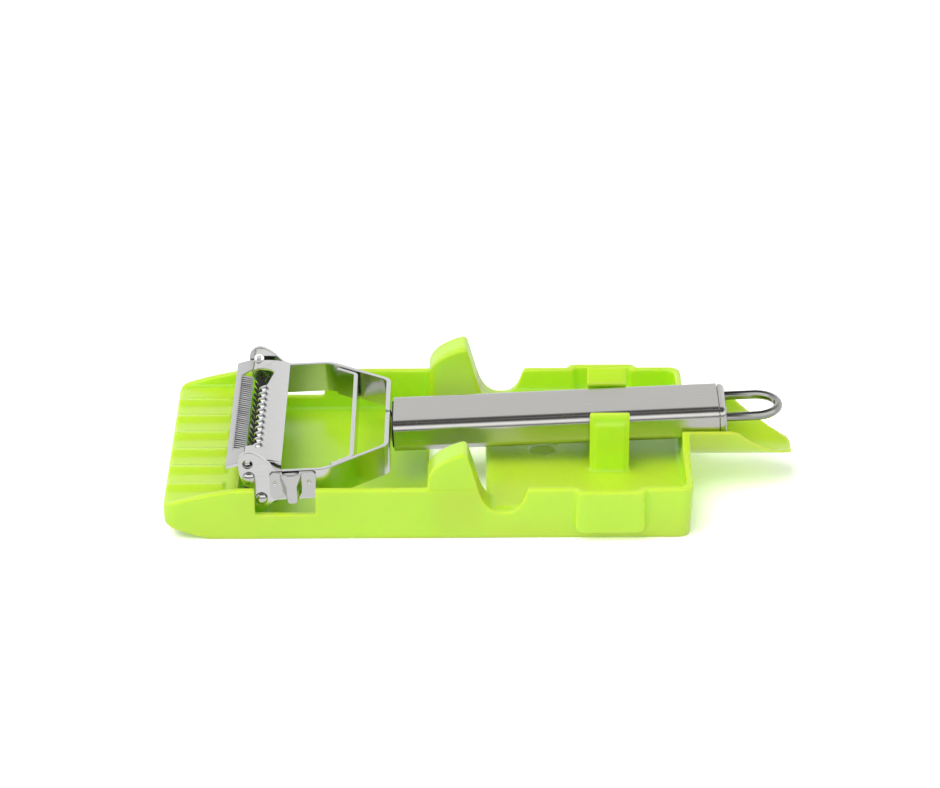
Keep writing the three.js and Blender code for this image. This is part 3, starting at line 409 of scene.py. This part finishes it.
def horn_back(name, side, material):
    """The skin over the hollow of a horn, where the hollow comes close to the slope behind it."""
    outline = []
    for i in range(SLOPE_STEPS + 1):
        t = SLOPE_SHARE * i / SLOPE_STEPS
        point = SLOPE_FOOT.lerp(SLOPE_BEND, t).lerp(SLOPE_BEND.lerp(SLOPE_END, t), t)
        outline.append(tuple(point + SLOPE_PROUD))
    lowest_x, lowest_z = outline[-1]
    outline += [(lowest_x - HORN_SKIN, lowest_z), *HORN_SKIN_BACK]
    rings = [[(x, side * y, z) for x, z in outline] for y in HORN_SKIN_Y]
    return skin(name, [rings], material, TRAY_PLACE)


def make_details(group, green, sheet, bright, mirror):
    """The small formed pieces that the CAD nodes lack."""
    comb = (LIP_INSET, COMB_WIDTH - LIP_INSET, COMB_END, COMB_LIP_DROP)
    plate = (PLATE_START, BLADE_WIDTH - LIP_INSET - PLATE_START, PLATE_END, PLATE_LIP_DROP)
    comb_lip = bent_lip("comb_lip", *comb, sheet)
    plate_lip = bent_lip("plate_lip", *plate, sheet)
    for piece in (comb_lip, plate_lip, tooth_beaks(mirror)):
        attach(piece, "upper_blades")
        smooth_shading(piece, group, SMOOTH_ANGLE)
    for name, side in (("horn_back_near", -1), ("horn_back_far", 1)):
        piece = horn_back(name, side, green)
        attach(piece, "tray")
        smooth_shading(piece, group, SMOOTH_ANGLE)
    crown = gouge_crown(bright)
    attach(crown, "peeler")
    smooth_shading(crown, group, SMOOTH_ANGLE)


# ---------------------------------------------------------------- dressing


def dress_all():
    """Materials and edges for every CAD node, and the pieces added to them."""
    group = smooth_group()
    tube = brushed_steel("tube_steel", (0.56, 0.55, 0.53), 0.24, (1, 40, 40))
    sheet = brushed_steel("sheet_steel", (0.68, 0.68, 0.675), 0.14, (4, 30, 30))
    bright = polished_steel("bright_steel", (0.58, 0.58, 0.57), 0.12)
    wire = polished_steel("wire_steel", (0.34, 0.34, 0.32), 0.09)
    mirror = polished_steel("mirror_steel", (0.5, 0.5, 0.49), 0.07)
    green = green_plastic()
    comb = brushed_steel("comb_steel", (0.64, 0.64, 0.64), 0.34, (4, 30, 30))
    moulded(dress("base_tray", green), group, voxel=0.45 * MM, passes=4, keep=0.3)
    rivets = [name for name in NODES if "rivet" in name]
    # the width of the rounded edges in millimetres, for the nodes of each material
    finishes = (
        (tube, 0.15, ("handle_tube", "handle_end_cap")),
        (sheet, 0.2, ("yoke_near", "yoke_far", "yoke_brace")),
        (sheet, 0.12, ("julienne_plate",)),
        (mirror, 0.12, ("peeling_blade",)),
        (comb, 0.06, ("serrated_blade",)),
        (bright, 0.12, ("eye_gouge", *rivets)),
        (wire, 0.12, ("hanging_loop",)),
        (black_plastic(), 0.3, ("handle_front_plug",)),
    )
    for material, width, names in finishes:
        for name in names:
            tumbled(dress(name, material), group, width * MM)
    make_details(group, green, sheet, bright, mirror)


# ---------------------------------------------------------------- stage

PAPER = 0.88
PAPER_TO_CAMERA = 1.5  # the paper is white to the camera, and still takes the shadow
PAPER_GLOW = 0.8  # share of its mirror image that is plain white
PAPER_WIDTH, PAPER_DEPTH = 8, 4
FRONT_EDGE = -0.3  # the paper ends here, and the room in front of it is dark
KEY_DIRECTION = Vector((0.45, 0.2, -1.0))
KEY_STRENGTH = 1.6
KEY_SPREAD = math.radians(50)
FRONT_BOX_PLACE = Vector((0, -1.9, 0.72))
FRONT_BOX_AIM = Vector((0, 0, 0.02))
FRONT_BOX_SIZE = (2.6, 0.7)
FRONT_BOX_POWER = 6.5
EVEN_LIGHT = 0.53
SKY_BLEND = 0.1  # half the width of the band overhead where the front sky turns into the back one

# What steel and gloss mirror: pairs of height above the horizon, 0 to 1, and brightness.
TOP_SKY = ((0.99, 0.05), (0.998, 0.5))
BACK_SKY = ((0.0, 1.1), (0.46, 1.0), (0.62, 0.62), (0.75, 0.38), (0.86, 0.14), *TOP_SKY)
FRONT_SKY = (
    (0.06, 0.08), (0.2, 0.7), (0.42, 1.6), (0.68, 1.5), (0.8, 0.4), (0.9, 0.05), *TOP_SKY,
)


def make_floor():
    """The sheet of paper that the tray stands on."""
    middle = (0, FRONT_EDGE + PAPER_DEPTH / 2, 0)
    bpy.ops.mesh.primitive_plane_add(size=1.0, location=middle)
    plane = bpy.context.object
    plane.name = "floor"
    plane.scale = (PAPER_WIDTH, PAPER_DEPTH, 1.0)
    plane.data.materials.append(floor_material())


def light_path_sum(tree, weights):
    """Adds up Light Path outputs, each times its weight."""
    path = tree.nodes.new("ShaderNodeLightPath")
    total = None
    for name, weight in weights.items():
        part = tree.nodes.new("ShaderNodeMath")
        part.operation = "MULTIPLY_ADD"
        part.inputs[1].default_value = weight
        part.inputs[2].default_value = 0.0
        tree.links.new(path.outputs[name], part.inputs[0])
        if total is not None:
            tree.links.new(total, part.inputs[2])
        total = part.outputs[0]
    return total


def floor_material():
    """Paper bright enough to be white to the camera and the steel, and that still takes the shadow."""
    m = Material("floor_paper")
    m.tree.nodes.remove(m.shader)
    tone = m.add("ShaderNodeMix", data_type="RGBA")
    tone.inputs["A"].default_value = (*grey(PAPER), 1)
    tone.inputs["B"].default_value = (*grey(PAPER_TO_CAMERA), 1)
    m.join(light_path_sum(m.tree, {"Is Camera Ray": 1.0}), tone.inputs["Factor"])
    paper = m.add("ShaderNodeBsdfDiffuse")
    m.join(tone.outputs["Result"], paper.inputs["Color"])
    glow = m.add("ShaderNodeEmission")
    mix = m.add("ShaderNodeMixShader")
    weights = {"Is Glossy Ray": PAPER_GLOW, "Is Transmission Ray": PAPER_GLOW}
    m.join(light_path_sum(m.tree, weights), mix.inputs["Fac"])
    m.join(paper.outputs["BSDF"], mix.inputs[1])
    m.join(glow.outputs["Emission"], mix.inputs[2])
    m.join(mix.outputs["Shader"], m.output.inputs["Surface"])
    return m.material


def add_light(data, location, direction):
    """A light that shines along a direction and shows in no mirror image."""
    light = bpy.data.objects.new(data.name, data)
    light.location = location
    light.rotation_euler = direction.to_track_quat("-Z", "Y").to_euler()
    light.visible_glossy = False
    bpy.context.scene.collection.objects.link(light)


def key_sun():
    """Broad light from above, from the left and a little from the front."""
    data = bpy.data.lights.new("key", "SUN")
    data.energy = KEY_STRENGTH
    data.angle = KEY_SPREAD
    add_light(data, (0, 0, 0), KEY_DIRECTION)


def front_box():
    """A wide soft box in front, for the long near wall."""
    data = bpy.data.lights.new("front_box", "AREA")
    data.shape = "RECTANGLE"
    data.size, data.size_y = FRONT_BOX_SIZE
    data.energy = FRONT_BOX_POWER
    add_light(data, FRONT_BOX_PLACE, FRONT_BOX_AIM - FRONT_BOX_PLACE)


def sky_ramp(tree, height, stops):
    """Brightness by height above the horizon, as pairs of height and value."""
    ramp = tree.nodes.new("ShaderNodeValToRGB")
    elements = ramp.color_ramp.elements
    for index, (position, value) in enumerate(stops):
        element = elements[index] if index < 2 else elements.new(position)
        element.position = position
        element.color = (*grey(value), 1)
    tree.links.new(height, ramp.inputs["Fac"])
    return ramp.outputs["Color"]


def room_colour(tree):
    """The mirrored room: one sky behind the object, another in front, blended overhead."""
    place = tree.nodes.new("ShaderNodeTexCoord")
    axes = tree.nodes.new("ShaderNodeSeparateXYZ")
    tree.links.new(place.outputs["Generated"], axes.inputs["Vector"])
    side = tree.nodes.new("ShaderNodeMapRange")
    side.inputs["From Min"].default_value = -SKY_BLEND
    side.inputs["From Max"].default_value = SKY_BLEND
    tree.links.new(axes.outputs["Y"], side.inputs["Value"])
    sky = tree.nodes.new("ShaderNodeMix")
    sky.data_type = "RGBA"
    tree.links.new(side.outputs["Result"], sky.inputs["Factor"])
    tree.links.new(sky_ramp(tree, axes.outputs["Z"], FRONT_SKY), sky.inputs["A"])
    tree.links.new(sky_ramp(tree, axes.outputs["Z"], BACK_SKY), sky.inputs["B"])
    return sky.outputs["Result"]


def background(tree, strength):
    """Plain white light of one strength."""
    node = tree.nodes.new("ShaderNodeBackground")
    node.inputs["Color"].default_value = (1, 1, 1, 1)
    node.inputs["Strength"].default_value = strength
    return node


def switch(tree, rays, otherwise, chosen):
    """One shader for the named kinds of ray, another for all the rest."""
    mix = tree.nodes.new("ShaderNodeMixShader")
    tree.links.new(light_path_sum(tree, dict.fromkeys(rays, 1.0)), mix.inputs["Fac"])
    tree.links.new(otherwise, mix.inputs[1])
    tree.links.new(chosen, mix.inputs[2])
    return mix.outputs["Shader"]


def make_world():
    """Even light for the surfaces, white for the camera, and for gloss the mirrored room."""
    world = bpy.data.worlds.new("studio")
    bpy.context.scene.world = world
    world.use_nodes = True
    tree = world.node_tree
    tree.nodes.clear()
    even = background(tree, EVEN_LIGHT)
    gloss = background(tree, 1.0)
    tree.links.new(room_colour(tree), gloss.inputs["Color"])
    white = background(tree, 1.0)
    lit = switch(
        tree, ["Is Glossy Ray"], even.outputs["Background"], gloss.outputs["Background"],
    )
    seen = switch(
        tree, ["Is Camera Ray", "Is Transmission Ray"], lit, white.outputs["Background"],
    )
    output = tree.nodes.new("ShaderNodeOutputWorld")
    tree.links.new(seen, output.inputs["Surface"])


def make_stage():
    """The paper, the two lights and the room."""
    make_floor()
    key_sun()
    front_box()
    make_world()


# ---------------------------------------------------------------- run

bpy.context.scene.view_settings.view_transform = "Standard"
make_camera()
dress_all()
make_stage()
